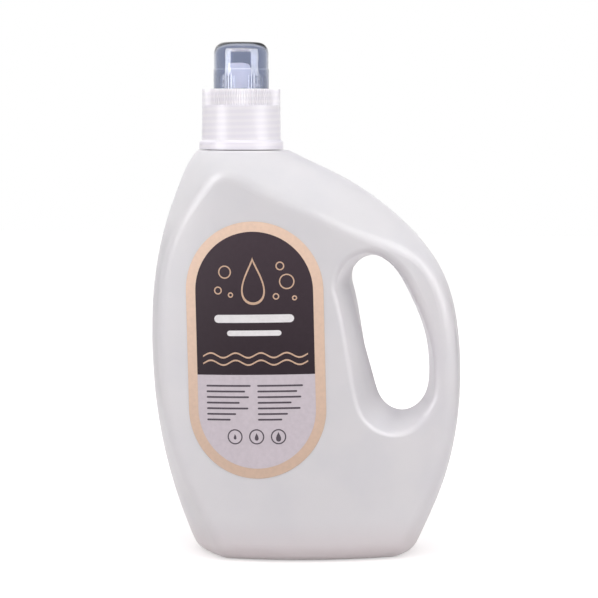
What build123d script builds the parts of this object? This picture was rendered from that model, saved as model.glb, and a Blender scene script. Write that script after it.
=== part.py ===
from build123d import *
import os
from math import acos, cos, degrees, hypot, pi, sin, sqrt

# Two-litre blow-moulded refill bottle with a through handle and a pouring closure.
# Millimetres. Z up from the table, X towards the handle, -Y the labelled front.
# X = 0 is the middle of the bottle's width, Y = 0 the mould's parting plane.

# Bottle body
BODY_WIDTH = 174.2
BODY_HEIGHT = 225.0
BODY_WALL = 1.0
PANEL_DEPTH = 90.0
EDGE_FILLET = 10.0
SHOULDER_FILLET = 2.0

# Side walls: outline on the parting plane, and how far it is drawn in a little past the
# panels, in shares of half the body width and of half the panels' depth
SIDE_INSET_SHARE = 0.218
SIDE_REACH_SHARE = 1.11
# Outline points in shares of half the body width, of its height and of that inset;
# those above and below the body only lead the curve through its ends
OUTLINE_SHARES = [
    (-0.50, -0.14, 1.4),
    (-0.700, 0.0, 1.35),
    (-0.905, 0.225, 1.2),
    (-0.999, 0.510, 1.05),
    (-0.924, 0.795, 1.1),
    (-0.815, 0.922, 1.4),
    (-0.705, 1.0, 1.5),
    (-0.430, 1.045, 1.5),
    (-0.115, 1.0, 1.4),
    (0.263, 0.929, 1.6),
    (0.597, 0.837, 1.9),
    (0.878, 0.703, 1.5),
    (0.984, 0.545, 1.0),
    (0.990, 0.365, 1.0),
    (0.895, 0.178, 1.2),
    (0.700, 0.0, 1.35),
    (0.48, -0.14, 1.4),
]

# Front and back panels: middle of the arc, where it turns in to the handle and how far
# that turn runs, in shares of half the body width; depth there in shares of the panel's
PANEL_X_SHARE = -0.2526
GRIP_X_SHARE = 0.689
GRIP_RUN_SHARE = 0.413
GRIP_DEPTH_SHARE = 0.515

# Finger hole: its rim on the parting plane, opened out by HOLE_FLARE where the side
# walls end; place and size in shares of half the body width and of its height
HOLE_FLARE = 10.0
HOLE_FILLET = 4.0
HOLE_X_SHARE = 0.5453
HOLE_WIDTH_SHARE = 0.5052
HOLE_Z_SHARE = 0.5444
HOLE_HEIGHT_SHARE = 0.3822
# Rim points in shares of half the hole's width and height, and of the flare
HOLE_RIM_SHARES = [
    (-1.03, 0.60, 0.35),
    (-0.75, 0.05, 0.5),
    (-0.42, -0.55, 0.9),
    (-0.10, -0.90, 1.4),
    (0.36, -0.98, 1.8),
    (0.84, -0.82, 1.8),
    (1.00, -0.42, 1.4),
    (0.85, 0.10, 1.0),
    (0.45, 0.58, 0.8),
    (0.00, 0.92, 0.6),
    (-0.46, 1.03, 0.5),
    (-0.87, 0.92, 0.4),
]

# Push-up under the base, inside the standing ring, in shares of the body's width and depth
FOOT_RISE = 3.0
FOOT_X_SHARE = -0.02
FOOT_LENGTH_SHARE = 0.48
FOOT_DEPTH_SHARE = 0.6

# Neck, with room outside it for the screw thread; its axis in shares of half the body width
NECK_X_SHARE = -0.4248
NECK_RADIUS = 18.8
NECK_WALL = 1.6
NECK_HEIGHT = 30.4
THREAD_HEIGHT = 1.1

# Fits of the closure
FIT_CLEARANCE = 0.3
SEAT_CLEARANCE = 0.05
THREAD_CLEARANCE = 0.35
CLOSURE_TOP = 285.0

# Pouring insert
FLANGE_THICKNESS = 1.7
FLANGE_RADIUS = 19.6
WELL_WALL = 1.1
WELL_DEPTH = 8.5
WELL_FLOOR = 1.4
NOZZLE_RADIUS = 6.6
NOZZLE_WALL = 1.1
NOZZLE_SHIFT = -0.8
NOZZLE_HEIGHT = 24.8
NOZZLE_HEEL = 12.0
NOZZLE_LIP_SHARE = 0.2
DRAIN_WIDTH = 3.6

# Screw collar
COLLAR_PLATE = 1.8
COLLAR_WALL = 1.6
COLLAR_LIFT = 0.5
COLLAR_TAPER = 0.35
FLARE_HEIGHT = 5.4
FLARE_REACH = 1.4
BAND_HEIGHT = 9.0
RIB_COUNT = 96
RIB_DEPTH = 0.45

# Measuring cap
CAP_WALL = 1.4
CAP_TOP = 1.8
CAP_CORNER = 6.0
CAP_STEP = 0.3
CAP_STEP_DROP = 15.0

# Front label, in shares of the body's width and height
LABEL_WIDTH_SHARE = 0.436
LABEL_HEIGHT_SHARE = 0.6244
LABEL_Z_SHARE = 0.52
LABEL_TILT = 1.5
LABEL_THICKNESS = 0.12
LABEL_GLUE = 0.02

# Sizes that follow from the ones above
HALF_WIDTH = BODY_WIDTH / 2
HALF_DEPTH = PANEL_DEPTH / 2
SIDE_INSET = SIDE_INSET_SHARE * HALF_WIDTH
SIDE_REACH = SIDE_REACH_SHARE * HALF_DEPTH
PANEL_X = PANEL_X_SHARE * HALF_WIDTH
GRIP_X = GRIP_X_SHARE * HALF_WIDTH
GRIP_RUN = GRIP_RUN_SHARE * HALF_WIDTH
PANEL_SAG = HALF_DEPTH * (1 - GRIP_DEPTH_SHARE)
PANEL_RADIUS = ((GRIP_X - PANEL_X) ** 2 + PANEL_SAG**2) / (2 * PANEL_SAG)
HOLE_X = HOLE_X_SHARE * HALF_WIDTH
HOLE_Z = HOLE_Z_SHARE * BODY_HEIGHT
HALF_HOLE_WIDTH = HOLE_WIDTH_SHARE * HALF_WIDTH / 2
HALF_HOLE_HEIGHT = HOLE_HEIGHT_SHARE * BODY_HEIGHT / 2
NECK_X = NECK_X_SHARE * HALF_WIDTH
LABEL_WIDTH = LABEL_WIDTH_SHARE * BODY_WIDTH
LABEL_HEIGHT = LABEL_HEIGHT_SHARE * BODY_HEIGHT
LABEL_Z = LABEL_Z_SHARE * BODY_HEIGHT
NECK_TOP = BODY_HEIGHT + NECK_HEIGHT
BORE_RADIUS = NECK_RADIUS - NECK_WALL
FLANGE_BOTTOM = NECK_TOP + SEAT_CLEARANCE
FLANGE_TOP = FLANGE_BOTTOM + FLANGE_THICKNESS
WELL_OUTER = BORE_RADIUS - FIT_CLEARANCE
WELL_INNER = WELL_OUTER - WELL_WALL
WELL_BOTTOM = FLANGE_TOP - WELL_DEPTH
INSERT_BOTTOM = WELL_BOTTOM - WELL_FLOOR
NOZZLE_BORE = NOZZLE_RADIUS - NOZZLE_WALL
NOZZLE_TIP = WELL_BOTTOM + NOZZLE_HEIGHT
CAP_RADIUS = WELL_INNER - FIT_CLEARANCE
CAP_BOTTOM = WELL_BOTTOM + SEAT_CLEARANCE
COLLAR_UNDER = FLANGE_TOP + SEAT_CLEARANCE
COLLAR_TOP = COLLAR_UNDER + COLLAR_PLATE
COLLAR_BOTTOM = BODY_HEIGHT + COLLAR_LIFT
COLLAR_INNER = NECK_RADIUS + THREAD_HEIGHT + THREAD_CLEARANCE
COLLAR_RADIUS = COLLAR_INNER + COLLAR_WALL
COLLAR_MOUTH = CAP_RADIUS + FIT_CLEARANCE
BAND_BOTTOM = COLLAR_TOP - BAND_HEIGHT

# Half section of the closure: X out from the neck axis, Y of the sketch up
NECK_SECTION = Plane(origin=(NECK_X, 0, 0), x_dir=(1, 0, 0), z_dir=(0, -1, 0))
NECK_AXIS = Axis((NECK_X, 0, 0), (0, 0, 1))


def drawn_in(points, insets):
    """Closed row of points moved inwards, each square to the chord of its neighbours."""
    moved = []
    for index, (x, z) in enumerate(points):
        before = points[index - 1]
        after = points[(index + 1) % len(points)]
        run = (after[0] - before[0], after[1] - before[1])
        step = insets[index] / hypot(*run)
        moved.append((x + run[1] * step, z - run[0] * step))
    return moved


def side_outline(inset, reach_share):
    """Body outline on a plane some share of SIDE_REACH off the parting plane."""
    points = [(x * HALF_WIDTH, z * BODY_HEIGHT) for x, z, share in OUTLINE_SHARES]
    insets = [inset + reach_share * SIDE_INSET * share for x, z, share in OUTLINE_SHARES]
    return drawn_in(points, insets)


def hole_rim(inset, reach_share):
    """Finger hole outline on a plane some share of SIDE_REACH off the parting plane."""
    points = []
    for x, z, share in HOLE_RIM_SHARES:
        points.append((HOLE_X + x * HALF_HOLE_WIDTH, HOLE_Z + z * HALF_HOLE_HEIGHT))
    grow = [inset + reach_share * HOLE_FLARE * share for x, z, share in HOLE_RIM_SHARES]
    return drawn_in(points, grow)


def on_hole_rim(point):
    """Whether a point lies round the finger hole, well off the parting plane."""
    beside = abs(point.X - HOLE_X) < HALF_HOLE_WIDTH + HOLE_FLARE
    level = abs(point.Z - HOLE_Z) < HALF_HOLE_HEIGHT + HOLE_FLARE
    return beside and level and abs(point.Y) > HOLE_FILLET


def blown_form(inset):
    """Blown body as a solid, drawn in all round by a wall thickness."""
    radius = PANEL_RADIUS - inset
    half = HALF_DEPTH - inset
    reach = sqrt(radius**2 - (radius - half) ** 2)
    blend_y = radius - half - sqrt(radius**2 - (GRIP_X - PANEL_X) ** 2)
    foot_grow = inset * (sqrt(2) - 1)
    foot_length = FOOT_LENGTH_SHARE * HALF_WIDTH + foot_grow
    foot_depth = FOOT_DEPTH_SHARE * HALF_DEPTH + foot_grow
    with BuildPart() as form:
        # Barrelled side walls, lofted across the parting plane
        for side in (-1, 0, 1):
            with BuildSketch(Plane.XZ.offset(side * SIDE_REACH)):
                with BuildLine():
                    Spline(*side_outline(inset, abs(side)), periodic=True)
                make_face()
        loft()
        # Front and back panels, seen from above, and the flat base and neck seat
        with BuildSketch(Plane.XY.offset(inset)):
            with BuildLine():
                blend = (GRIP_X, blend_y)
                panel = ThreePointArc((PANEL_X - reach, 0), (PANEL_X, -half), blend)
                turn = acos((panel % 1).X)
                inward = JernArc(blend, panel % 1, GRIP_RUN / sin(turn), -degrees(turn))
                Line(inward @ 1, ((inward @ 1).X, 0))
                mirror(about=Plane.XZ)
            make_face()
        extrude(amount=BODY_HEIGHT - 2 * inset, mode=Mode.INTERSECT)
        curves = form.edges().filter_by(GeomType.BSPLINE)
        creases = curves.filter_by(lambda edge: edge.bounding_box().size.Z > SHOULDER_FILLET)
        fillet(creases + form.edges().group_by(Axis.Z)[0], EDGE_FILLET - inset)
        fillet(form.edges().group_by(Axis.Z)[-1], SHOULDER_FILLET - inset)
        # Finger hole, flared each way from the parting plane
        for side in (-1, 1):
            for share in (0, 1):
                with BuildSketch(Plane.XZ.offset(side * share * SIDE_REACH)):
                    with BuildLine():
                        Spline(*hole_rim(inset, share), periodic=True)
                    make_face()
            loft(mode=Mode.SUBTRACT)
        rims = form.edges().filter_by(GeomType.LINE, reverse=True)
        rims = rims.filter_by(lambda edge: on_hole_rim(edge @ 0) and on_hole_rim(edge @ 1))
        fillet(rims, HOLE_FILLET - inset)
        # Push-up
        for rise in (0, FOOT_RISE):
            with BuildSketch(Plane.XY.offset(inset + rise)):
                with Locations((FOOT_X_SHARE * HALF_WIDTH, 0)):
                    Ellipse(foot_length - rise, foot_depth - rise)
        loft(mode=Mode.SUBTRACT)
    return form.part


os.makedirs("parts", exist_ok=True)

# Blow-moulded bottle: hollow body with its through handle, and the neck
with BuildPart() as bottle:
    add(blown_form(0))
    with BuildSketch(Plane.XY.offset(BODY_HEIGHT)):
        with Locations((NECK_X, 0)):
            Circle(NECK_RADIUS)
    extrude(amount=NECK_HEIGHT)
    add(blown_form(BODY_WALL), mode=Mode.SUBTRACT)
    with BuildSketch(Plane.XY.offset(NECK_TOP)):
        with Locations((NECK_X, 0)):
            Circle(BORE_RADIUS)
    extrude(amount=-NECK_HEIGHT - SHOULDER_FILLET, mode=Mode.SUBTRACT)
bottle.part.label = "bottle"
export_step(bottle.part, "parts/bottle.step")

# Pouring insert: flange on the neck lip, drip well, slotted nozzle cut low at its heel
with BuildPart() as pour_spout:
    with BuildSketch(NECK_SECTION):
        with BuildLine():
            Polyline(
                (0, INSERT_BOTTOM),
                (WELL_OUTER, INSERT_BOTTOM),
                (WELL_OUTER, FLANGE_BOTTOM),
                (FLANGE_RADIUS, FLANGE_BOTTOM),
                (FLANGE_RADIUS, FLANGE_TOP),
                (WELL_INNER, FLANGE_TOP),
                (WELL_INNER, WELL_BOTTOM),
                (0, WELL_BOTTOM),
                close=True,
            )
        make_face()
    revolve(axis=NECK_AXIS)
    with BuildSketch(Plane.XY.offset(WELL_BOTTOM)):
        with Locations((NECK_X + NOZZLE_SHIFT, 0)):
            Circle(NOZZLE_RADIUS)
    extrude(amount=NOZZLE_HEIGHT)
    with BuildSketch(Plane.XY.offset(INSERT_BOTTOM)):
        with Locations((NECK_X + NOZZLE_SHIFT, 0)):
            Circle(NOZZLE_BORE)
    extrude(amount=WELL_FLOOR + NOZZLE_HEIGHT, mode=Mode.SUBTRACT)
    with BuildSketch(NECK_SECTION):
        with BuildLine():
            lip = (NOZZLE_LIP_SHARE * NOZZLE_RADIUS, NOZZLE_TIP)
            heel = (NOZZLE_RADIUS, WELL_BOTTOM + NOZZLE_HEEL)
            corner = (NOZZLE_RADIUS, NOZZLE_TIP)
            Bezier(lip, corner, heel)
            Polyline(heel, corner, lip)
        make_face()
    extrude(amount=NOZZLE_RADIUS, both=True, mode=Mode.SUBTRACT)
    with BuildSketch(Plane.XY.offset(WELL_BOTTOM)):
        with Locations((NECK_X + NOZZLE_SHIFT, 0)):
            Rectangle(NOZZLE_RADIUS, DRAIN_WIDTH, align=(Align.MIN, Align.CENTER))
    extrude(amount=NOZZLE_HEIGHT, mode=Mode.SUBTRACT)
pour_spout.part.label = "pour_spout"
export_step(pour_spout.part, "parts/pour_spout.step")

# Screw collar: holds the insert down on the neck; ribbed band above a flared skirt
with BuildPart() as screw_collar:
    with BuildSketch(NECK_SECTION):
        with BuildLine():
            skirt = COLLAR_RADIUS + COLLAR_TAPER
            Polyline(
                (COLLAR_INNER, COLLAR_BOTTOM),
                (skirt + FLARE_REACH, COLLAR_BOTTOM),
                (skirt + FLARE_REACH, COLLAR_BOTTOM + FLARE_HEIGHT - FLARE_REACH),
                (skirt, COLLAR_BOTTOM + FLARE_HEIGHT),
                (COLLAR_RADIUS, BAND_BOTTOM),
                (COLLAR_RADIUS - RIB_DEPTH, BAND_BOTTOM),
                (COLLAR_RADIUS - RIB_DEPTH, COLLAR_TOP),
                (COLLAR_MOUTH, COLLAR_TOP),
                (COLLAR_MOUTH, COLLAR_UNDER),
                (COLLAR_INNER, COLLAR_UNDER),
                close=True,
            )
        make_face()
    revolve(axis=NECK_AXIS)
    with BuildSketch(Plane.XY.offset(BAND_BOTTOM)):
        with BuildLine():
            teeth = []
            for half_step in range(2 * RIB_COUNT):
                turn = pi * half_step / RIB_COUNT
                out = COLLAR_RADIUS - RIB_DEPTH * (half_step % 2)
                teeth.append((NECK_X + out * cos(turn), out * sin(turn)))
            Polyline(*teeth, close=True)
        make_face()
        with Locations((NECK_X, 0)):
            Circle(COLLAR_RADIUS - 2 * RIB_DEPTH, mode=Mode.SUBTRACT)
    extrude(amount=BAND_HEIGHT)
screw_collar.part.label = "screw_collar"
export_step(screw_collar.part, "parts/screw_collar.step")

# Measuring cap: clear dome whose rim stands in the drip well
with BuildPart() as measuring_cap:
    with BuildSketch(NECK_SECTION):
        with BuildLine():
            step = CLOSURE_TOP - CAP_STEP_DROP
            slim = CAP_RADIUS - CAP_STEP
            round_in = CAP_CORNER - CAP_WALL
            under = CLOSURE_TOP - CAP_TOP
            Polyline(
                (CAP_RADIUS - CAP_WALL, CAP_BOTTOM),
                (CAP_RADIUS, CAP_BOTTOM),
                (CAP_RADIUS, step),
                (slim, step),
                (slim, CLOSURE_TOP - CAP_CORNER),
            )
            RadiusArc(
                (slim, CLOSURE_TOP - CAP_CORNER),
                (slim - CAP_CORNER, CLOSURE_TOP),
                -CAP_CORNER,
            )
            Polyline(
                (slim - CAP_CORNER, CLOSURE_TOP),
                (0, CLOSURE_TOP),
                (0, under),
                (CAP_RADIUS - CAP_WALL - round_in, under),
            )
            RadiusArc(
                (CAP_RADIUS - CAP_WALL - round_in, under),
                (CAP_RADIUS - CAP_WALL, under - round_in),
                round_in,
            )
            Line((CAP_RADIUS - CAP_WALL, under - round_in), (CAP_RADIUS - CAP_WALL, CAP_BOTTOM))
        make_face()
    revolve(axis=NECK_AXIS)
measuring_cap.part.label = "measuring_cap"
export_step(measuring_cap.part, "parts/measuring_cap.step")

# Self-adhesive label, bent to the front panel
with BuildPart() as front_label:
    with BuildSketch(Plane.XY.offset(LABEL_Z - LABEL_HEIGHT / 2)):
        with Locations((PANEL_X, PANEL_RADIUS - HALF_DEPTH)):
            Circle(PANEL_RADIUS + LABEL_GLUE + LABEL_THICKNESS)
            Circle(PANEL_RADIUS + LABEL_GLUE, mode=Mode.SUBTRACT)
    extrude(amount=LABEL_HEIGHT)
    with BuildSketch(Plane.XZ):
        with Locations((PANEL_X, LABEL_Z)):
            SlotOverall(LABEL_HEIGHT, LABEL_WIDTH, rotation=90 + LABEL_TILT)
    extrude(amount=PANEL_DEPTH, mode=Mode.INTERSECT)
front_label.part.label = "front_label"
export_step(front_label.part, "parts/front_label.step")
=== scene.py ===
"""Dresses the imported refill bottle: its plastics, neck thread, printed label and a plain studio."""

import math

import bmesh
import bpy
from bpy.props import FloatProperty, FloatVectorProperty, IntProperty, PointerProperty
from mathutils import Matrix, Vector


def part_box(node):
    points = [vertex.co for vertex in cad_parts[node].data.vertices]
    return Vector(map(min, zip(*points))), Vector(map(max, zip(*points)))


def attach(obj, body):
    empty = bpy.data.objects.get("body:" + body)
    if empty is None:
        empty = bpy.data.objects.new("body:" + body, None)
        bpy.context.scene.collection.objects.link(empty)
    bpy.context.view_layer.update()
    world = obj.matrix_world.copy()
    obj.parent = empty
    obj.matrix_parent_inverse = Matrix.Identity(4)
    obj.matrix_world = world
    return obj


bl_info = {
    "name": "Refill bottle",
    "version": (1, 0, 0),
    "blender": (4, 5, 0),
    "location": "3D View > Sidebar > Refill bottle",
    "description": "Plastics, neck thread, label print and studio of a two-litre refill bottle",
    "category": "Object",
}

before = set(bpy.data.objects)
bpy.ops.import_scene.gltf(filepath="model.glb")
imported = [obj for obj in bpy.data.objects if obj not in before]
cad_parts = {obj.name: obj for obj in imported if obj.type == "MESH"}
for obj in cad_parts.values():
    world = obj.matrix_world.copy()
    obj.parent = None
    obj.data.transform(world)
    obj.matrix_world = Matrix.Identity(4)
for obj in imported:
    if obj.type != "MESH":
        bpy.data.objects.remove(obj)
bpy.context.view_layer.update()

MM = 0.001

# Sizes that the solids share with the pieces made here, in metres and radians
FILM_RADIUS = 165.15 * MM
LABEL_WIDTH = 75.95 * MM
LABEL_HEIGHT = 140.49 * MM
LABEL_TILT = math.radians(1.5)
NECK_X = -37.0 * MM
NECK_RADIUS = 18.8 * MM
SHOULDER_Z = 225.0 * MM
NECK_TOP = 255.4 * MM
CAP_STEP_Z = 270.0 * MM

# Studio, in metres: what the camera and the lamps are turned to, half the floor's side and how
# far the flags stand off; and the camera's small roll
AIM = Vector((-4.1 * MM, 0, 141.5 * MM))
FLOOR_HALF = 3.0
FLAG_DISTANCE = 0.45
CAMERA_ROLL = math.radians(0.13)

# Sockets of a colour Mix node, by number because other kinds of data share their names
MIX_SHARE = 0
MIX_FROM = 6
MIX_TO = 7
MIXED = 2


def linear(hex_colour):
    """Linear RGB of an sRGB hex value."""
    shares = [int(hex_colour[i : i + 2], 16) / 255 for i in (1, 3, 5)]
    return [s / 12.92 if s <= 0.04045 else ((s + 0.055) / 1.055) ** 2.4 for s in shares]


def colour_property(name, description, hex_colour):
    """A colour that a user may change, given as sRGB hex."""
    return FloatVectorProperty(
        name=name,
        description=description,
        subtype="COLOR",
        size=3,
        min=0,
        max=1,
        default=linear(hex_colour),
    )


def length_property(name, description, millimetres):
    """A length that a user may change, given in millimetres."""
    return FloatProperty(
        name=name, description=description, unit="LENGTH", precision=5, default=millimetres * MM
    )


def power_property(name, description, watts):
    """A lamp's power that a user may change, given in watts."""
    return FloatProperty(name=name, description=description, unit="POWER", min=0, default=watts)


class RefillBottleColours(bpy.types.PropertyGroup):
    """Colours of the plastics and of the label's inks."""

    body: colour_property("Body", "Milky polyethylene where its wall is thick", "#E8E4E8")
    body_thin: colour_property("Thin body", "The same where the wall is thin", "#E3E0E5")
    # The body's colour at its base, darker and pinker than the rest
    body_foot: colour_property("Foot", "The same at the base, where it is thickest", "#E2D8DA")
    spout: colour_property("Spout", "Milky polypropylene of the pouring insert", "#F0F0F5")
    collar: colour_property("Collar", "Translucent polypropylene of the collar", "#F5F1F8")
    collar_thin: colour_property("Thin collar", "The same between turns of its thread", "#F0ECF5")
    # Partly painted: besides the cap's own slight tint, the blue-grey stands in for the darker studio
    # seen through the clear cap
    cap: colour_property("Cap", "Blue-grey tint of the clear cap", "#ACB2C4")
    # Painted highlight: the pale line where the step round the cap catches the light
    step_line_highlight: colour_property("Cap step", "Tint of the moulded step round the cap", "#C2C7D4")
    film: colour_property("Label film", "Warm film that shows as the label's border", "#F8D8C1")
    # Painted shade: the film is painted darker at the label's foot, where less light falls
    film_painted_shade: colour_property("Lower film", "The same at the foot of the label", "#D8BBA6")
    dark_ink: colour_property("Dark ink", "Upper field of the label", "#4B3F46")
    # Painted shade: the dark ink is painted darker at the label's foot, where less light falls
    dark_ink_painted_shade: colour_property("Lower dark ink", "The same at the foot of the label", "#1E151B")
    pale_ink: colour_property("Pale ink", "Lower field of the label", "#D7CDD4")
    white_ink: colour_property("White ink", "Bars on the dark field", "#F4F1F2")
    warm_ink: colour_property("Warm ink", "Line drawing on the dark field", "#D9B79E")
    grey_ink: colour_property("Grey ink", "Thin bars on the pale field", "#5E565E")


class RefillBottleSizes(bpy.types.PropertyGroup):
    """Sizes of the thread and of the label's print."""

    thread_pitch: length_property("Thread pitch", "Rise of the neck thread in a turn", 3.4)
    thread_height: length_property("Thread height", "Thread crest above the neck", 1.05)
    thread_width: length_property("Thread width", "Width of the thread at its root", 2.0)
    thread_turns: FloatProperty(name="Thread turns", description="Turns of thread", default=4.6)
    label_border: length_property("Label border", "Film left bare round the fields", 5.5)
    field_split: length_property("Field split", "Lower edge of the dark field below the middle", 13.2)
    bar_pitch: length_property("Bar pitch", "Spacing of the thin bars", 3.1)
    bar_rows: IntProperty(name="Bar rows", description="Rows of thin bars", default=7)


class RefillBottleStudio(bpy.types.PropertyGroup):
    """Camera and lamps."""

    azimuth: FloatProperty(
        name="Azimuth", description="Camera towards the handle", subtype="ANGLE",
        default=math.radians(8.15),
    )
    elevation: FloatProperty(
        name="Elevation", description="Camera above the horizon", subtype="ANGLE",
        default=math.radians(5.16),
    )
    distance: length_property("Distance", "Camera from the middle of the view", 1150.0)
    lens: FloatProperty(
        name="Lens", description="Focal length in millimetres", unit="CAMERA", default=123.05
    )
    left_lamp: power_property("Left lamp", "Power of the left lamp", 1.75)
    right_lamp: power_property("Right lamp", "Power of the right lamp", 2.4)
    top_lamp: power_property("Top lamp", "Power of the lamp above", 5.6)
    back_lamp: power_property("Back lamp", "Power of the lamp behind", 3.0)
    spout_lamp: power_property("Spout lamp", "Power of the light through the clear cap", 72.0)
    gloss: power_property("Gloss", "Power of what gloss mirrors", 13.0)
    fill: FloatProperty(
        name="Fill", description="Level of the white surroundings", subtype="FACTOR",
        min=0, max=1, default=0.68,
    )


class RefillBottleSettings(bpy.types.PropertyGroup):
    """All that a user may change."""

    colours: PointerProperty(type=RefillBottleColours)
    sizes: PointerProperty(type=RefillBottleSizes)
    studio: PointerProperty(type=RefillBottleStudio)


def add_node(tree, kind, settings=None, inputs=None):
    """Adds a node with its settings, and sets or links its inputs."""
    made = tree.nodes.new(kind)
    for name, value in (settings or {}).items():
        setattr(made, name, value)
    for name, value in (inputs or {}).items():
        if isinstance(value, bpy.types.NodeSocket):
            tree.links.new(value, made.inputs[name])
        else:
            made.inputs[name].default_value = value
    return made


def new_material(name):
    """An empty material, its node tree and its object coordinates."""
    material = bpy.data.materials.new(name)
    material.use_nodes = True
    tree = material.node_tree
    tree.nodes.clear()
    place = add_node(tree, "ShaderNodeTexCoord").outputs["Object"]
    return material, tree, place


def opaque(colour):
    """Linear RGB with full alpha, as a socket takes it."""
    return (*colour, 1.0)


def natural_polyethylene(colours):
    """Natural HDPE, extrusion blow-moulded: milky and satin, lit from within, cloudy where
    the wall's thickness wanders, with faint upright draw lines and a parting line."""
    material, tree, place = new_material("natural_hdpe_blow_moulded")
    cloud_size = 34 * MM
    clouds = add_node(
        tree, "ShaderNodeTexNoise", None,
        {"Vector": place, "Scale": 1 / cloud_size, "Detail": 3.0, "Roughness": 0.45},
    )
    thickness = add_node(
        tree, "ShaderNodeMapRange", {"interpolation_type": "SMOOTHSTEP"},
        {"Value": clouds.outputs[0], "From Min": 0.34, "From Max": 0.66},
    )
    colour = add_node(
        tree, "ShaderNodeMix", {"data_type": "RGBA"},
        {
            MIX_SHARE: thickness.outputs[0],
            MIX_FROM: opaque(colours.body_thin),
            MIX_TO: opaque(colours.body),
        },
    )
    # The body turns darker and pinker towards its base
    axes = add_node(tree, "ShaderNodeSeparateXYZ", None, {"Vector": place})
    foot = add_node(
        tree, "ShaderNodeMapRange", {"interpolation_type": "SMOOTHSTEP"},
        {
            "Value": axes.outputs["Z"],
            "From Min": 2 * MM,
            "From Max": 26 * MM,
            "To Min": 1,
            "To Max": 0,
        },
    )
    footed = add_node(
        tree, "ShaderNodeMix", {"data_type": "RGBA"},
        {
            MIX_SHARE: foot.outputs[0],
            MIX_FROM: colour.outputs[MIXED],
            MIX_TO: opaque(colours.body_foot),
        },
    )
    # Draw lines run up the wall, about 3 mm apart
    line_size = 3 * MM
    drawn = add_node(
        tree, "ShaderNodeMapping", None, {"Vector": place, "Scale": (1, 1, 0.04)}
    )
    lines = add_node(
        tree, "ShaderNodeTexNoise", None,
        {"Vector": drawn.outputs[0], "Scale": 1 / line_size, "Detail": 2.0},
    )
    roughness = add_node(
        tree, "ShaderNodeMapRange", None,
        {"Value": lines.outputs[0], "From Min": 0.3, "From Max": 0.7, "To Min": 0.34, "To Max": 0.44},
    )
    # Blasted mould skin of 0.15 mm grit, drawn at 1.2 mm so that it shows
    grit_size = 1.2 * MM
    grit = add_node(
        tree, "ShaderNodeTexNoise", None, {"Vector": place, "Scale": 1 / grit_size, "Detail": 2.0}
    )
    # Parting line of the two mould halves, 0.5 mm wide on the middle plane
    beside = add_node(
        tree, "ShaderNodeMath", {"operation": "ABSOLUTE"}, {0: axes.outputs["Y"]}
    )
    seam = add_node(
        tree, "ShaderNodeMapRange", {"interpolation_type": "SMOOTHSTEP"},
        {
            "Value": beside.outputs[0],
            "From Min": 0.1 * MM,
            "From Max": 0.4 * MM,
            "To Min": 1,
            "To Max": 0,
        },
    )
    skin = add_node(
        tree, "ShaderNodeBump", None,
        {"Strength": 0.12, "Distance": 0.06 * MM, "Height": grit.outputs[0]},
    )
    wavy = add_node(
        tree, "ShaderNodeBump", None,
        {
            "Strength": 0.10,
            "Distance": 0.10 * MM,
            "Height": lines.outputs[0],
            "Normal": skin.outputs[0],
        },
    )
    seamed = add_node(
        tree, "ShaderNodeBump", None,
        {
            "Strength": 0.6,
            "Distance": 0.12 * MM,
            "Height": seam.outputs[0],
            "Normal": wavy.outputs[0],
        },
    )
    plastic = add_node(
        tree, "ShaderNodeBsdfPrincipled", {"subsurface_method": "RANDOM_WALK"},
        {
            "Base Color": footed.outputs[MIXED],
            "Roughness": roughness.outputs[0],
            "IOR": 1.54,
            "Subsurface Weight": 0.7,
            "Subsurface Radius": (1.0, 0.96, 1.0),
            "Subsurface Scale": 2.5 * MM,
            "Normal": seamed.outputs[0],
        },
    )
    add_node(tree, "ShaderNodeOutputMaterial", None, {"Surface": plastic.outputs[0]})
    return material


def milky_polypropylene(colours):
    """Natural PP, injection-moulded: milky, smoother than the bottle, faintly flow-marked."""
    material, tree, place = new_material("milky_pp_injection_moulded")
    flow_size = 6 * MM
    flow = add_node(
        tree, "ShaderNodeTexNoise", None, {"Vector": place, "Scale": 1 / flow_size, "Detail": 2.0}
    )
    roughness = add_node(
        tree, "ShaderNodeMapRange", None,
        {"Value": flow.outputs[0], "From Min": 0.3, "From Max": 0.7, "To Min": 0.24, "To Max": 0.34},
    )
    bump = add_node(
        tree, "ShaderNodeBump", None,
        {"Strength": 0.1, "Distance": 0.05 * MM, "Height": flow.outputs[0]},
    )
    plastic = add_node(
        tree, "ShaderNodeBsdfPrincipled", None,
        {
            "Base Color": opaque(colours.spout),
            "Roughness": roughness.outputs[0],
            "IOR": 1.49,
            "Subsurface Weight": 0.5,
            "Subsurface Radius": (1.0, 1.0, 1.0),
            "Subsurface Scale": 2 * MM,
            "Normal": bump.outputs[0],
        },
    )
    add_node(tree, "ShaderNodeOutputMaterial", None, {"Surface": plastic.outputs[0]})
    return material


def about_neck(tree, place):
    """Height of a point and its angle round the neck's axis."""
    centred = add_node(
        tree, "ShaderNodeMapping", None, {"Vector": place, "Location": (-NECK_X, 0, 0)}
    )
    axes = add_node(tree, "ShaderNodeSeparateXYZ", None, {"Vector": centred.outputs[0]})
    turn = add_node(
        tree, "ShaderNodeMath", {"operation": "ARCTAN2"}, {0: axes.outputs["Y"], 1: axes.outputs["X"]}
    )
    return axes.outputs["Z"], turn.outputs[0]


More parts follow.
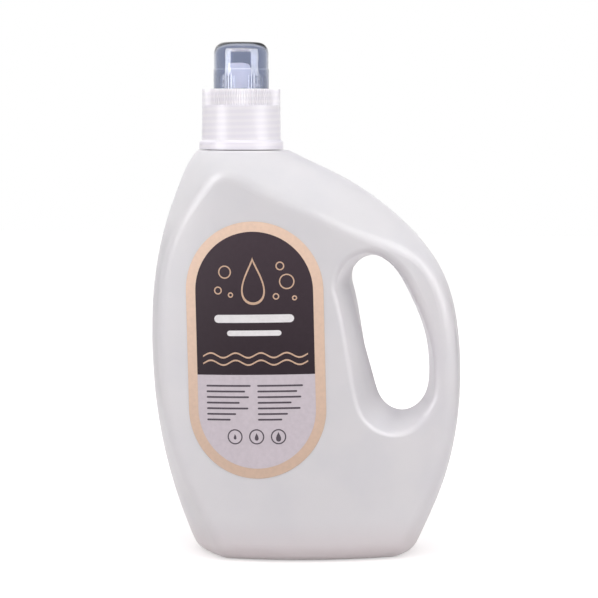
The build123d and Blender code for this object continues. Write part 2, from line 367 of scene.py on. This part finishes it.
def translucent_polypropylene(colours, pitch):
    """Unfilled PP, injection-moulded: frosted and nearly white, with soft level bands where the
    thread on its inside thickens the wall."""
    material, tree, place = new_material("translucent_pp_injection_moulded")
    height, turn = about_neck(tree, place)
    # The thread climbs by its pitch in a turn
    climb = add_node(
        tree, "ShaderNodeMath", {"operation": "MULTIPLY"}, {0: height, 1: 2 * math.pi / pitch}
    )
    phase = add_node(
        tree, "ShaderNodeMath", {"operation": "SUBTRACT"}, {0: climb.outputs[0], 1: turn}
    )
    ridge = add_node(tree, "ShaderNodeMath", {"operation": "SINE"}, {0: phase.outputs[0]})
    threaded = add_node(
        tree, "ShaderNodeMapRange", {"interpolation_type": "SMOOTHSTEP"},
        {"Value": ridge.outputs[0], "From Min": -0.6, "From Max": 0.9},
    )
    tone = add_node(
        tree, "ShaderNodeMix", {"data_type": "RGBA"},
        {
            MIX_SHARE: threaded.outputs[0],
            MIX_FROM: opaque(colours.collar_thin),
            MIX_TO: opaque(colours.collar),
        },
    )
    flow_size = 5 * MM
    flow = add_node(
        tree, "ShaderNodeTexNoise", None, {"Vector": place, "Scale": 1 / flow_size, "Detail": 2.0}
    )
    roughness = add_node(
        tree, "ShaderNodeMapRange", None,
        {"Value": flow.outputs[0], "From Min": 0.3, "From Max": 0.7, "To Min": 0.3, "To Max": 0.4},
    )
    plastic = add_node(
        tree, "ShaderNodeBsdfPrincipled", None,
        {
            "Base Color": tone.outputs[MIXED],
            "Roughness": roughness.outputs[0],
            "IOR": 1.49,
            "Subsurface Weight": 0.8,
            "Subsurface Radius": (1.0, 1.0, 1.0),
            "Subsurface Scale": 2 * MM,
        },
    )
    add_node(tree, "ShaderNodeOutputMaterial", None, {"Surface": plastic.outputs[0]})
    return material


def clear_polypropylene(colours):
    """Clarified PP, injection-moulded and polished: clear, with fine upright flutes on the wall below
    the step; its blue-grey tint is partly its own and partly painted, standing in for the darker
    studio seen through it."""
    material, tree, place = new_material("clear_pp_injection_moulded")
    height, turn = about_neck(tree, place)
    # Upright flutes, each about 1.5 mm wide on the wall
    flutes = 64
    phase = add_node(tree, "ShaderNodeMath", {"operation": "MULTIPLY"}, {0: turn, 1: flutes})
    flute = add_node(tree, "ShaderNodeMath", {"operation": "SINE"}, {0: phase.outputs[0]})
    below = add_node(
        tree, "ShaderNodeMapRange", None,
        {
            "Value": height,
            "From Min": CAP_STEP_Z - 4 * MM,
            "From Max": CAP_STEP_Z - 2 * MM,
            "To Min": 1.0,
            "To Max": 0.0,
        },
    )
    fluted = add_node(
        tree, "ShaderNodeMath", {"operation": "MULTIPLY"}, {0: flute.outputs[0], 1: below.outputs[0]}
    )
    bump = add_node(
        tree, "ShaderNodeBump", None,
        {"Strength": 0.5, "Distance": 0.08 * MM, "Height": fluted.outputs[0]},
    )
    # Painted highlight: the light that the step round the wall catches, painted as a faint pale line
    # 0.6 mm wide
    off_step = add_node(
        tree, "ShaderNodeMath", {"operation": "SUBTRACT"}, {0: height, 1: CAP_STEP_Z}
    )
    from_step = add_node(
        tree, "ShaderNodeMath", {"operation": "ABSOLUTE"}, {0: off_step.outputs[0]}
    )
    step = add_node(
        tree, "ShaderNodeMapRange", None,
        {
            "Value": from_step.outputs[0],
            "From Min": 0.2 * MM,
            "From Max": 0.4 * MM,
            "To Min": 1,
            "To Max": 0,
        },
    )
    # Tint of the cap, partly painted, with the step's painted highlight mixed in
    tint = add_node(
        tree, "ShaderNodeMix", {"data_type": "RGBA"},
        {
            MIX_SHARE: step.outputs[0],
            MIX_FROM: opaque(colours.cap),
            MIX_TO: opaque(colours.step_line_highlight),
        },
    )
    haze_size = 4 * MM
    haze = add_node(
        tree, "ShaderNodeTexNoise", None, {"Vector": place, "Scale": 1 / haze_size, "Detail": 2.0}
    )
    roughness = add_node(
        tree, "ShaderNodeMapRange", None,
        {"Value": haze.outputs[0], "From Min": 0.3, "From Max": 0.7, "To Min": 0.03, "To Max": 0.09},
    )
    plastic = add_node(
        tree, "ShaderNodeBsdfPrincipled", None,
        {
            "Base Color": tint.outputs[MIXED],
            "Roughness": roughness.outputs[0],
            "IOR": 1.49,
            "Transmission Weight": 1.0,
            "Normal": bump.outputs[0],
        },
    )
    add_node(tree, "ShaderNodeOutputMaterial", None, {"Surface": plastic.outputs[0]})
    return material


def printed_film(name, colour, painted_shade_colour, roughness_range, sheen):
    """Pressure-sensitive PP film or the ink on it, offset-printed and varnished: satin, with painted
    shade that may darken its tone towards the label's foot, and a fine mottle in the varnish."""
    material, tree, place = new_material(name)
    low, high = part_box("front_label")
    axes = add_node(tree, "ShaderNodeSeparateXYZ", None, {"Vector": place})
    # Painted shade: the tone runs from the top colour down to the painted shade colour at the label's
    # foot
    rise = add_node(
        tree, "ShaderNodeMapRange", None,
        {"Value": axes.outputs["Z"], "From Min": low.z, "From Max": high.z},
    )
    run = add_node(
        tree, "ShaderNodeMix", {"data_type": "RGBA"},
        {
            MIX_SHARE: rise.outputs[0],
            MIX_FROM: opaque(painted_shade_colour),
            MIX_TO: opaque(colour),
        },
    )
    # Ink mottle of about 0.4 mm, drawn at 2 mm so that it shows
    mottle_size = 2 * MM
    mottle = add_node(
        tree, "ShaderNodeTexNoise", None, {"Vector": place, "Scale": 1 / mottle_size, "Detail": 3.0}
    )
    level = add_node(
        tree, "ShaderNodeMapRange", None,
        {"Value": mottle.outputs[0], "From Min": 0.3, "From Max": 0.7, "To Min": 0.93, "To Max": 1.0},
    )
    tone = add_node(
        tree, "ShaderNodeHueSaturation", None,
        {"Color": run.outputs[MIXED], "Value": level.outputs[0]},
    )
    roughness = add_node(
        tree, "ShaderNodeMapRange", None,
        {
            "Value": mottle.outputs[0],
            "From Min": 0.3,
            "From Max": 0.7,
            "To Min": roughness_range[0],
            "To Max": roughness_range[1],
        },
    )
    film = add_node(
        tree, "ShaderNodeBsdfPrincipled", None,
        {
            "Base Color": tone.outputs[0],
            "Roughness": roughness.outputs[0],
            "IOR": 1.49,
            "Specular IOR Level": sheen,
        },
    )
    add_node(tree, "ShaderNodeOutputMaterial", None, {"Surface": film.outputs[0]})
    return material


def dress(node, material):
    """Gives a solid its finish."""
    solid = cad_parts[node]
    solid.data.materials.clear()
    solid.data.materials.append(material)


def mesh_piece(name, mesh, body, material):
    """A new piece that rides on a body of the frame."""
    piece = bpy.data.objects.new(name, mesh)
    bpy.context.scene.collection.objects.link(piece)
    mesh.materials.append(material)
    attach(piece, body)
    return piece


class REFILL_OT_blown_bottle(bpy.types.Operator):
    """Finish of the blow-moulded bottle"""

    bl_idname = "refill.blown_bottle"
    bl_label = "Blown bottle"

    def execute(self, context):
        colours = context.scene.refill_bottle.colours
        dress("bottle", natural_polyethylene(colours))
        return {"FINISHED"}


def thread_mesh(sizes):
    """Neck thread: a rounded ridge wound up the neck, faded in and out at its ends."""
    steps_per_turn = 96
    fade_turns = 0.35
    count = int(sizes.thread_turns * steps_per_turn) + 1
    height = sizes.thread_height
    half = sizes.thread_width / 2
    # Section: along the axis in shares of half the width, out in shares of the height
    section = [(-1.0, -0.2), (-0.75, 0.45), (-0.35, 1.0), (0.35, 1.0), (0.75, 0.45), (1.0, -0.2)]
    rise = sizes.thread_pitch * sizes.thread_turns
    start = (SHOULDER_Z + NECK_TOP) / 2 - rise / 2
    made = bmesh.new()
    rings = []
    for step in range(count):
        turns = step / steps_per_turn
        fade = min(1.0, turns / fade_turns, (sizes.thread_turns - turns) / fade_turns)
        crest = max(0.0, math.sin(fade * math.pi / 2))
        angle = 2 * math.pi * turns
        ring = []
        for along, out in section:
            radius = NECK_RADIUS + height * (out * crest if out > 0 else out)
            z = start + sizes.thread_pitch * turns + along * half
            x = NECK_X + radius * math.cos(angle)
            ring.append(made.verts.new((x, radius * math.sin(angle), z)))
        rings.append(ring)
    for below, above in zip(rings, rings[1:]):
        for i in range(len(section)):
            j = (i + 1) % len(section)
            made.faces.new((below[i], above[i], above[j], below[j]))
    made.faces.new(rings[0])
    made.faces.new(rings[-1][::-1])
    bmesh.ops.recalc_face_normals(made, faces=made.faces)
    for face in made.faces:
        face.smooth = True
    mesh = bpy.data.meshes.new("neck_thread")
    made.to_mesh(mesh)
    made.free()
    return mesh


class REFILL_OT_neck_thread(bpy.types.Operator):
    """Screw thread on the neck, seen when the closure is lifted"""

    bl_idname = "refill.neck_thread"
    bl_label = "Neck thread"

    def execute(self, context):
        settings = context.scene.refill_bottle
        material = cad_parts["bottle"].data.materials[0]
        mesh = thread_mesh(settings.sizes)
        mesh_piece("neck_thread", mesh, "bottle", material)
        return {"FINISHED"}


class REFILL_OT_closure(bpy.types.Operator):
    """Finishes of the pouring insert, the collar and the cap"""

    bl_idname = "refill.closure"
    bl_label = "Closure"

    def execute(self, context):
        settings = context.scene.refill_bottle
        colours, pitch = settings.colours, settings.sizes.thread_pitch
        dress("pour_spout", milky_polypropylene(colours))
        dress("screw_collar", translucent_polypropylene(colours, pitch))
        dress("measuring_cap", clear_polypropylene(colours))
        return {"FINISHED"}


def disc(centre, radius, corners=40):
    """Outline of a round spot, anticlockwise."""
    turns = [2 * math.pi * i / corners for i in range(corners)]
    return [(centre[0] + radius * math.cos(t), centre[1] + radius * math.sin(t)) for t in turns]


def bar(centre, length, height, corners=6):
    """Outline of a bar with rounded ends, anticlockwise."""
    radius = height / 2
    reach = length / 2 - radius
    outline = []
    for side in (1, -1):
        for i in range(corners + 1):
            turn = math.pi * (i / corners - 0.5)
            u = centre[0] + side * (reach + radius * math.cos(turn))
            outline.append((u, centre[1] + side * radius * math.sin(turn)))
    return outline


def drop(centre, height, corners=48):
    """Outline of a drop with its point up, anticlockwise."""
    # How full its belly is and how slim its point
    fullness = 0.36
    slimness = 1.5
    outline = []
    for i in range(corners):
        turn = 2 * math.pi * i / corners
        wide = fullness * height * math.sin(turn) * math.sin(turn / 2) ** slimness
        outline.append((centre[0] - wide, centre[1] + height / 2 * math.cos(turn)))
    return outline


def ring(outer, inner):
    """Four-cornered patches between two closed outlines with as many points."""
    patches = []
    for i in range(len(outer)):
        j = (i + 1) % len(outer)
        patches.append([outer[i], outer[j], inner[j], inner[i]])
    return patches


def circle(centre, radius, width):
    """Patches of a round line."""
    return ring(disc(centre, radius), disc(centre, radius - width))


def wave(middle, half_length, swing, length, width, steps=60):
    """Patches of a level wavy line."""
    line = []
    for i in range(steps + 1):
        u = -half_length + 2 * half_length * i / steps
        line.append((u, middle + swing * math.sin(2 * math.pi * u / length)))
    half = width / 2
    return [
        [(u0, v0 - half), (u1, v1 - half), (u1, v1 + half), (u0, v0 + half)]
        for (u0, v0), (u1, v1) in zip(line, line[1:])
    ]


def field(half_width, end_centre, edge, corners=48):
    """Outline of a label field: a straight edge and a round end above or below it, anticlockwise."""
    side = 1 if end_centre > edge else -1
    outline = [(-side * half_width, edge), (side * half_width, edge)]
    for i in range(corners + 1):
        turn = math.pi * i / corners
        u = side * half_width * math.cos(turn)
        outline.append((u, end_centre + side * half_width * math.sin(turn)))
    return outline


def on_label(u, v, lift):
    """Point on the label, across and up from its middle, lifted off the film."""
    low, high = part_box("front_label")
    x = u * math.cos(LABEL_TILT) - v * math.sin(LABEL_TILT)
    z = u * math.sin(LABEL_TILT) + v * math.cos(LABEL_TILT) + (low.z + high.z) / 2
    y = low.y + FILM_RADIUS - math.sqrt((FILM_RADIUS + lift) ** 2 - x**2)
    return (x + (low.x + high.x) / 2, y, z)


def print_mesh(name, outlines, lift):
    """Thin flat shapes bent to the label, cut into upright strips that follow its curve. They
    are given in metres and cut in millimetres, where the cuts are exact."""
    strip = 2.0
    made = bmesh.new()
    for outline in outlines:
        made.faces.new([made.verts.new((u / MM, v / MM, 0)) for u, v in outline])
    half = max(abs(vert.co.x) for vert in made.verts)
    cuts = int(half / strip)
    level = Vector((math.cos(LABEL_TILT), -math.sin(LABEL_TILT), 0))
    for i in range(-cuts, cuts + 1):
        geometry = made.verts[:] + made.edges[:] + made.faces[:]
        bmesh.ops.bisect_plane(made, geom=geometry, plane_co=level * i * strip, plane_no=level)
    bmesh.ops.triangulate(made, faces=made.faces)
    for vert in made.verts:
        vert.co = on_label(vert.co.x * MM, vert.co.y * MM, lift)
    bmesh.ops.recalc_face_normals(made, faces=made.faces)
    for face in made.faces:
        if face.normal.y > 0:
            face.normal_flip()
    mesh = bpy.data.meshes.new(name)
    made.to_mesh(mesh)
    made.free()
    return mesh


def line_drawing(half):
    """Patches of a drop among bubbles over two waves, drawn in lines."""
    patches = ring(
        drop(centre=(0, 38 * MM), height=26 * MM), drop(centre=(0, 37.6 * MM), height=22.4 * MM)
    )
    # Each bubble's place across and up from the label's middle, and its radius, in millimetres
    bubbles = (
        (-15.5, 43, 3.6), (-19.5, 33, 2.2), (-12.5, 30.5, 1.5),
        (15.0, 46, 2.4), (18.5, 37.5, 4.2), (12.5, 29.5, 1.8), (22.5, 28.5, 1.4),
    )
    for u, v, radius in bubbles:
        patches += circle((u * MM, v * MM), radius * MM, width=0.7 * MM)
    wave_heights = (-2.5 * MM, -6.5 * MM)
    wave_half_length = half - 3.5 * MM
    for middle in wave_heights:
        patches += wave(middle, wave_half_length, swing=1.3 * MM, length=14 * MM, width=0.9 * MM)
    return patches


def plain_bars():
    """Outlines of two thick bars on the dark field."""
    return [
        bar(centre=(0, 17.5 * MM), length=44 * MM, height=4.4 * MM),
        bar(centre=(0, 9.6 * MM), length=30 * MM, height=3.0 * MM),
    ]


def bars_and_doses(half, split, sizes):
    """Outlines of two columns of thin bars, with three growing drops in rings below them."""
    outlines = []
    column = half - 6 * MM
    column_middle = (half - 4 * MM) / 2
    first_row = split - 6.0 * MM
    # Lengths of the bars in shares of their column
    shares = (0.94, 0.82, 0.9, 0.7, 0.88, 0.62, 0.5)
    for row in range(sizes.bar_rows):
        v = first_row - row * sizes.bar_pitch
        length = column * shares[row % len(shares)]
        for side in (-1, 1):
            u = side * column_middle - (column - length) / 2
            outlines.append(bar((u, v), length, height=1.0 * MM))
    dose_row = split - 34 * MM
    dose_pitch = 12 * MM
    dose_heights = (3.0 * MM, 4.2 * MM, 5.4 * MM)
    for i, height in enumerate(dose_heights):
        centre = ((i - 1) * dose_pitch, dose_row)
        outlines += circle(centre, radius=4.2 * MM, width=0.7 * MM)
        outlines.append(drop(centre, height))
    return outlines


class REFILL_OT_label(bpy.types.Operator):
    """Label film, its two fields of colour and its print"""

    bl_idname = "refill.label"
    bl_label = "Label"

    def execute(self, context):
        settings = context.scene.refill_bottle
        colours, sizes = settings.colours, settings.sizes
        film = printed_film(
            "pp_film_varnished", colours.film, colours.film_painted_shade,
            roughness_range=(0.34, 0.42), sheen=0.35,
        )
        dress("front_label", film)
        half = LABEL_WIDTH / 2 - sizes.label_border
        end = LABEL_HEIGHT / 2 - LABEL_WIDTH / 2
        split = -sizes.field_split
        # The fields lie on the film and the print on the fields
        field_lift = 0.06 * MM
        print_lift = 0.1 * MM
        ink_thickness = 0.012 * MM
        # Outlines, lift off the film, colour at the label's top and painted shade at its foot
        pieces = {
            "label_dark_field": (
                [field(half, end, split)], field_lift, colours.dark_ink, colours.dark_ink_painted_shade,
            ),
            "label_pale_field": (
                [field(half, -end, split)], field_lift, colours.pale_ink, colours.pale_ink,
            ),
            "label_warm_print": (
                line_drawing(half), print_lift, colours.warm_ink, colours.warm_ink,
            ),
            "label_white_print": (
                plain_bars(), print_lift, colours.white_ink, colours.white_ink,
            ),
            "label_grey_print": (
                bars_and_doses(half, split, sizes), print_lift, colours.grey_ink, colours.grey_ink,
            ),
        }
        for name, (outlines, lift, colour, painted_shade_colour) in pieces.items():
            ink_name = name.replace("label", "offset_ink")
            material = printed_film(
                ink_name, colour, painted_shade_colour, roughness_range=(0.46, 0.56), sheen=0.1
            )
            mesh = print_mesh(name, outlines, lift)
            piece = mesh_piece(name, mesh, "bottle", material)
            ink = piece.modifiers.new("ink_thickness", "SOLIDIFY")
            ink.thickness = ink_thickness
            ink.offset = -1
        return {"FINISHED"}


def direction(azimuth, elevation):
    """Unit vector out from the object; azimuth runs from its front towards the handle."""
    level = math.cos(elevation)
    return Vector((math.sin(azimuth) * level, -math.cos(azimuth) * level, math.sin(elevation)))


def softbox(name, azimuth, elevation, distance, size, power, reach, hue=(1, 1, 1)):
    """A rectangular lamp round the object, turned to it, its angles in degrees. It lights what is
    open to it, is mirrored in gloss or shines through clear plastic, as its reach says."""
    lamp = bpy.data.lights.new(name, "AREA")
    lamp.color = hue
    lamp.shape = "RECTANGLE"
    lamp.size, lamp.size_y = size
    lamp.energy = power
    box = bpy.data.objects.new(name, lamp)
    bpy.context.scene.collection.objects.link(box)
    back = direction(math.radians(azimuth), math.radians(elevation))
    box.location = AIM + back * distance
    box.rotation_euler = (-back).to_track_quat("-Z", "Y").to_euler()
    box.visible_camera = False
    box.visible_diffuse = "light" in reach
    box.visible_glossy = "gloss" in reach
    box.visible_transmission = "clear" in reach


def seen_rays(tree):
    """One for rays of the eye, of gloss and of clear plastic, zero for rays that carry light."""
    path = add_node(tree, "ShaderNodeLightPath")
    clear = add_node(
        tree, "ShaderNodeMath", {"operation": "MAXIMUM"},
        {0: path.outputs["Is Camera Ray"], 1: path.outputs["Is Transmission Ray"]},
    )
    seen = add_node(
        tree, "ShaderNodeMath", {"operation": "MAXIMUM"},
        {0: clear.outputs[0], 1: path.outputs["Is Glossy Ray"]},
    )
    return seen.outputs[0]


def white_surroundings(fill):
    """White all round for the eye, for gloss and for clear plastic; softer as light."""
    world = bpy.data.worlds.new("white_surroundings")
    world.use_nodes = True
    tree = world.node_tree
    tree.nodes.clear()
    level = add_node(
        tree, "ShaderNodeMapRange", None,
        {"Value": seen_rays(tree), "To Min": fill, "To Max": 1.0},
    )
    light = add_node(
        tree, "ShaderNodeBackground", None,
        {"Color": (1, 1, 1, 1), "Strength": level.outputs[0]},
    )
    add_node(tree, "ShaderNodeOutputWorld", None, {"Surface": light.outputs[0]})
    return world


def white_board():
    """Matt white laminate under the bottle; the eye sees it as white, with the shadow kept."""
    material, tree, place = new_material("white_laminate_board")
    grain_size = 3 * MM
    grain = add_node(tree, "ShaderNodeTexNoise", None, {"Vector": place, "Scale": 1 / grain_size})
    roughness = add_node(
        tree, "ShaderNodeMapRange", None, {"Value": grain.outputs[0], "To Min": 0.75, "To Max": 0.9}
    )
    # White away from the bottle; round its foot the shadow shows
    away = add_node(tree, "ShaderNodeVectorMath", {"operation": "LENGTH"}, {0: place})
    white = add_node(
        tree, "ShaderNodeMapRange", {"interpolation_type": "SMOOTHSTEP"},
        {
            "Value": away.outputs["Value"],
            "From Min": 120 * MM,
            "From Max": 300 * MM,
            "To Min": 0.5,
            "To Max": 0.66,
        },
    )
    lift = add_node(
        tree, "ShaderNodeMath", {"operation": "MULTIPLY"}, {0: seen_rays(tree), 1: white.outputs[0]}
    )
    board = add_node(
        tree, "ShaderNodeBsdfPrincipled", None,
        {
            "Base Color": opaque(linear("#CFCBCB")),
            "Roughness": roughness.outputs[0],
            "Specular IOR Level": 0.1,
            "Emission Color": (1, 1, 1, 1),
            "Emission Strength": lift.outputs[0],
        },
    )
    add_node(tree, "ShaderNodeOutputMaterial", None, {"Surface": board.outputs[0]})
    return material


def wool_felt(name, dark, light):
    """Pressed wool felt on the flags: dull, with a fibre mottle, and mirrored as darker edges."""
    material, tree, place = new_material(name)
    fibre_size = 2 * MM
    fibre = add_node(tree, "ShaderNodeTexNoise", None, {"Vector": place, "Scale": 1 / fibre_size})
    tone = add_node(
        tree, "ShaderNodeMix", {"data_type": "RGBA"},
        {
            MIX_SHARE: fibre.outputs[0],
            MIX_FROM: opaque(linear(dark)),
            MIX_TO: opaque(linear(light)),
        },
    )
    felt = add_node(
        tree, "ShaderNodeBsdfPrincipled", None,
        {"Base Color": tone.outputs[MIXED], "Roughness": 0.95, "Specular IOR Level": 0.1},
    )
    add_node(tree, "ShaderNodeOutputMaterial", None, {"Surface": felt.outputs[0]})
    return material


def flat_board(name, corners, material):
    """A thin board with four corners."""
    mesh = bpy.data.meshes.new(name)
    mesh.from_pydata(corners, [], [(0, 1, 2, 3)])
    mesh.materials.append(material)
    board = bpy.data.objects.new(name, mesh)
    bpy.context.scene.collection.objects.link(board)
    return board


def flag(name, azimuth, width, bottom, height, material):
    """An upright felt board beside the object, out of the eye's sight, its angle in degrees."""
    out = direction(math.radians(azimuth), 0)
    along = Vector((-out.y, out.x, 0)) * width / 2
    up = Vector((0, 0, height))
    low = out * FLAG_DISTANCE + Vector((0, 0, bottom))
    corners = [low - along, low + along, low + along + up, low - along + up]
    board = flat_board(name, corners, material)
    board.visible_camera = False
    board.visible_transmission = False


class REFILL_OT_studio(bpy.types.Operator):
    """Floor, white surroundings, flags, lamps and camera"""

    bl_idname = "refill.studio"
    bl_label = "Studio"

    def execute(self, context):
        scene = context.scene
        studio = scene.refill_bottle.studio
        scene.view_settings.view_transform = "Standard"
        scene.world = white_surroundings(studio.fill)
        half = FLOOR_HALF
        corners = [(-half, -half, 0), (half, -half, 0), (half, half, 0), (-half, half, 0)]
        floor = flat_board("floor", corners, white_board())
        black_felt = wool_felt("black_wool_felt", dark="#1A1A1A", light="#303030")
        grey_felt = wool_felt("grey_wool_felt", dark="#848484", light="#949494")
        # None stands at the clear cap's height, so that the cap's sides stay pale
        flag("flag_left", azimuth=-125, width=0.12, bottom=0, height=0.24, material=black_felt)
        flag("flag_right", azimuth=130, width=0.3, bottom=0, height=0.24, material=black_felt)
        flag("flag_shoulder", azimuth=158, width=0.45, bottom=0.4, height=0.4, material=grey_felt)
        light = ("light", "clear")
        gloss = ("gloss", "clear")
        cool_white = (0.95, 0.95, 1)
        warm_white = (1, 0.84, 0.62)
        softbox(
            "lamp_left", azimuth=-50, elevation=30, distance=1.1, size=(0.62, 1.0),
            power=studio.left_lamp, reach=light,
        )
        softbox(
            "lamp_right", azimuth=68, elevation=28, distance=1.1, size=(0.75, 1.0),
            power=studio.right_lamp, reach=light,
        )
        softbox(
            "lamp_top", azimuth=0, elevation=75, distance=1.2, size=(1.1, 1.1),
            power=studio.top_lamp, reach=light, hue=cool_white,
        )
        softbox(
            "lamp_back", azimuth=190, elevation=30, distance=1.2, size=(1.0, 1.0),
            power=studio.back_lamp, reach=("light",),
        )
        softbox(
            "gloss_left", azimuth=-50, elevation=22, distance=1.1, size=(0.5, 0.9),
            power=studio.gloss, reach=gloss,
        )
        softbox(
            "gloss_right", azimuth=68, elevation=22, distance=1.1, size=(0.7, 0.9),
            power=studio.gloss, reach=gloss,
        )
        # The cap's shadow would keep the lamps off the spout in it
        softbox(
            "lamp_spout", azimuth=5, elevation=55, distance=0.9, size=(1.2, 0.8),
            power=studio.spout_lamp, reach=("clear",), hue=warm_white,
        )
        lens = bpy.data.cameras.new("camera")
        lens.sensor_width = 36.0
        lens.lens = studio.lens
        camera = bpy.data.objects.new("camera", lens)
        scene.collection.objects.link(camera)
        back = direction(studio.azimuth, studio.elevation)
        camera.location = AIM + back * studio.distance
        turn = (-back).to_track_quat("-Z", "Y").to_matrix()
        camera.rotation_euler = (turn @ Matrix.Rotation(CAMERA_ROLL, 3, "Z")).to_euler()
        scene.camera = camera
        return {"FINISHED"}


OPERATORS = (
    REFILL_OT_blown_bottle,
    REFILL_OT_neck_thread,
    REFILL_OT_closure,
    REFILL_OT_label,
    REFILL_OT_studio,
)


class REFILL_PT_panel(bpy.types.Panel):
    """Steps and settings of the refill bottle"""

    bl_idname = "REFILL_PT_panel"
    bl_label = "Refill bottle"
    bl_space_type = "VIEW_3D"
    bl_region_type = "UI"
    bl_category = "Refill bottle"

    def draw(self, context):
        for operator in OPERATORS:
            self.layout.operator(operator.bl_idname)
        settings = context.scene.refill_bottle
        for group in (settings.colours, settings.sizes, settings.studio):
            box = self.layout.box()
            for name in group.__annotations__:
                box.prop(group, name)


CLASSES = (
    RefillBottleColours,
    RefillBottleSizes,
    RefillBottleStudio,
    RefillBottleSettings,
    *OPERATORS,
    REFILL_PT_panel,
)


def register():
    """Adds the classes and the settings."""
    for item in CLASSES:
        bpy.utils.register_class(item)
    bpy.types.Scene.refill_bottle = PointerProperty(type=RefillBottleSettings)


def unregister():
    """Takes the settings and the classes out again."""
    del bpy.types.Scene.refill_bottle
    for item in reversed(CLASSES):
        bpy.utils.unregister_class(item)


def main():
    """Makes every piece and the studio."""
    register()
    bpy.ops.refill.blown_bottle()
    bpy.ops.refill.neck_thread()
    bpy.ops.refill.closure()
    bpy.ops.refill.label()
    bpy.ops.refill.studio()


if __name__ == "__main__":
    main()
